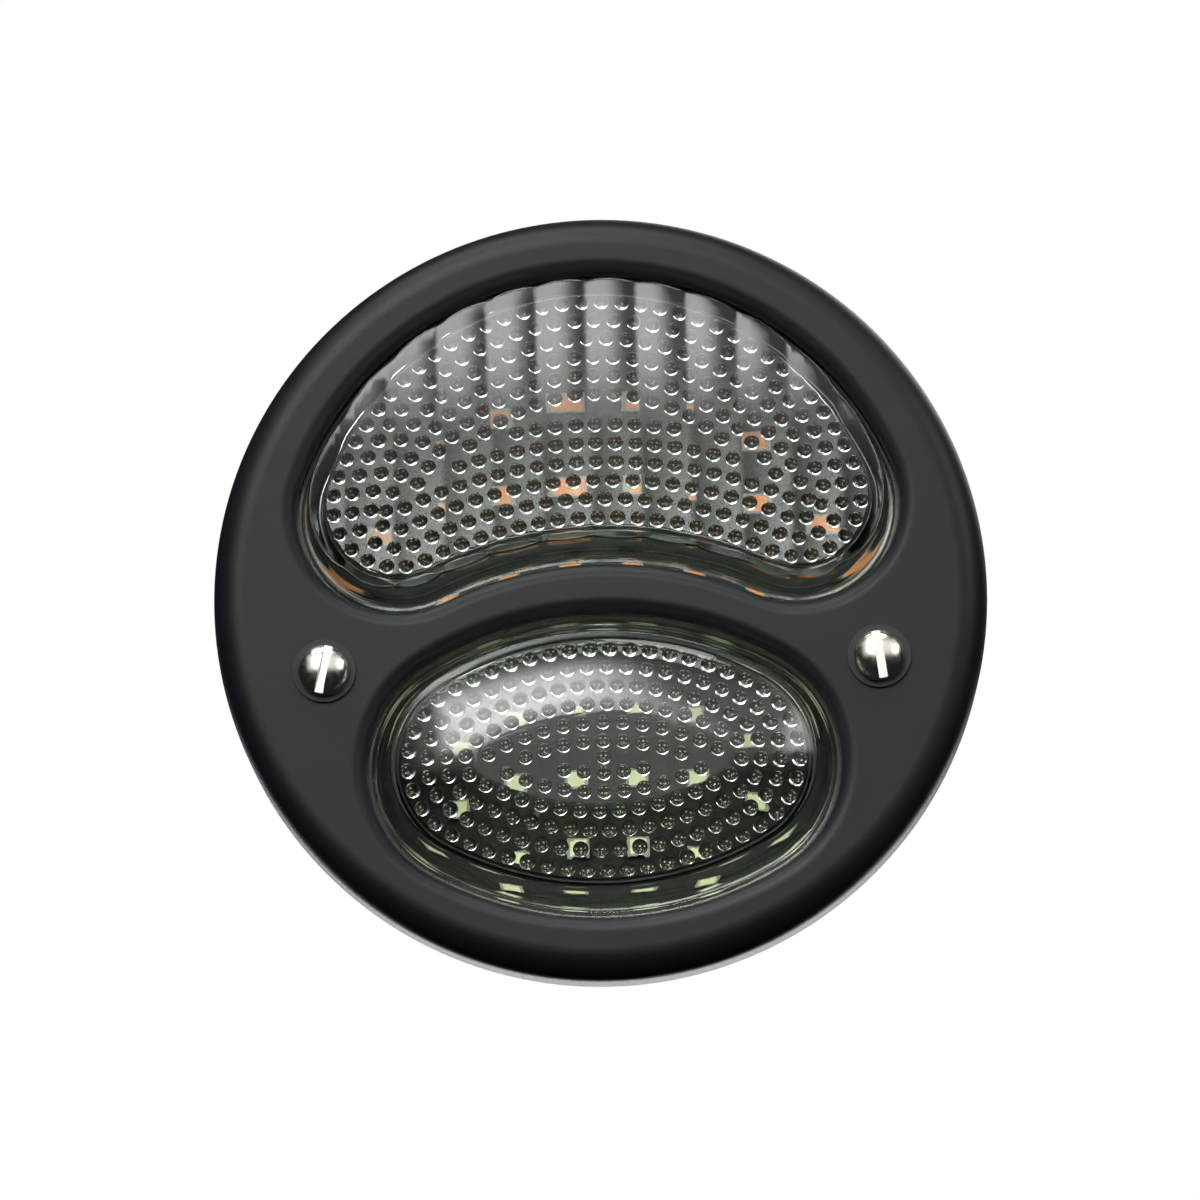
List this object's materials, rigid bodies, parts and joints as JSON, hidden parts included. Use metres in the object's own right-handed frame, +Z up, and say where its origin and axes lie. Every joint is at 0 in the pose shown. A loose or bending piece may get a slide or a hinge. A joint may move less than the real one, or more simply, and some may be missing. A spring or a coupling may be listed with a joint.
{
  "type": "vehicle tail and turn-signal lamp",
  "caption": "Round vehicle lamp: stamped bezel, fluted kidney lens over an oval lens, LED board in a drawn bowl, back mounting studs and a cable inlet.",
  "frame": {"origin": "centre of the two mounting studs, on the back face of the bowl", "axes": "+Z up, the lamp faces -Y, the mounting studs point along +Y, +X to the viewer's right"},
  "size_m": [0.118, 0.08, 0.118],
  "materials": {
    "black_paint": "satin black powder coat on stamped steel",
    "clear_glass": "pressed clear glass with a faint green-grey tint",
    "black_rubber": "matte black rubber",
    "zinc_sheet": "zinc plated sheet steel",
    "zinc_fastener": "bright zinc plated steel",
    "nickel_plate": "nickel plated steel, roughened in the slot",
    "aluminium_rivet": "plain aluminium",
    "board_mask": "dark grey solder mask on glass-fibre board",
    "led_body": "white moulded LED package",
    "amber_phosphor": "amber phosphor in silicone",
    "white_phosphor": "pale yellow-green phosphor in silicone",
    "black_component": "black moulded epoxy",
    "capacitor_can": "bare aluminium can",
    "connector_plastic": "natural nylon",
    "brass_spacer": "turned brass"
  },
  "bodies": {
    "bowl": {"housing": "black_paint", "housing_gasket": "black_rubber", "left_screw_bracket": "zinc_sheet", "right_screw_bracket": "zinc_sheet", "bracket_rivets": "aluminium_rivet", "circuit_board": "board_mask", "amber_led_packages": "led_body", "amber_led_phosphor": "amber_phosphor", "white_led_packages": "led_body", "white_led_phosphor": "white_phosphor", "led_resistors": "black_component", "driver_chips": "black_component", "smoothing_capacitors": "capacitor_can", "rectifier_diodes": "black_component", "wire_connector": "connector_plastic", "board_standoffs": "brass_spacer", "board_screws": "zinc_fastener", "mounting_studs": "zinc_fastener", "mounting_washers": "zinc_fastener", "mounting_lock_washers": "zinc_fastener", "mounting_nuts": "zinc_fastener", "cable_grommet": "black_rubber"},
    "door": {"bezel": "black_paint", "upper_lens": "clear_glass", "lower_lens": "clear_glass", "upper_lens_gasket": "black_rubber", "lower_lens_gasket": "black_rubber", "lens_retainer": "zinc_sheet", "retainer_studs": "zinc_fastener", "retainer_washers": "zinc_fastener", "retainer_nuts": "zinc_fastener"},
    "left_washer": {"left_screw_washer": "black_rubber"},
    "left_screw": {"left_bezel_screw": "nickel_plate"},
    "right_washer": {"right_screw_washer": "black_rubber"},
    "right_screw": {"right_bezel_screw": "nickel_plate"}
  },
  "joints": [
    {"name": "door_lift_off", "type": "slide", "parent": "bowl", "child": "door", "axis": [0, -1, 0], "range_m": [0, 0.04]},
    {"name": "left_screw_travel", "type": "slide", "parent": "door", "child": "left_washer", "axis": [0, -1, 0], "range_m": [0, 0.00357]},
    {"name": "left_screw_turn", "type": "hinge", "parent": "left_washer", "child": "left_screw", "pos_m": [-0.0421, -0.0506, -0.011], "axis": [0, -1, 0], "range_deg": [0, 1620]},
    {"name": "right_screw_travel", "type": "slide", "parent": "door", "child": "right_washer", "axis": [0, -1, 0], "range_m": [0, 0.00357]},
    {"name": "right_screw_turn", "type": "hinge", "parent": "right_washer", "child": "right_screw", "pos_m": [0.0421, -0.0506, -0.011], "axis": [0, -1, 0], "range_deg": [0, 1620]}
  ],
  "couplings": [
    {"joint": "left_screw_turn", "follows": "left_screw_travel", "rad_per_m": 7913.9},
    {"joint": "right_screw_turn", "follows": "right_screw_travel", "rad_per_m": 7913.9}
  ]
}
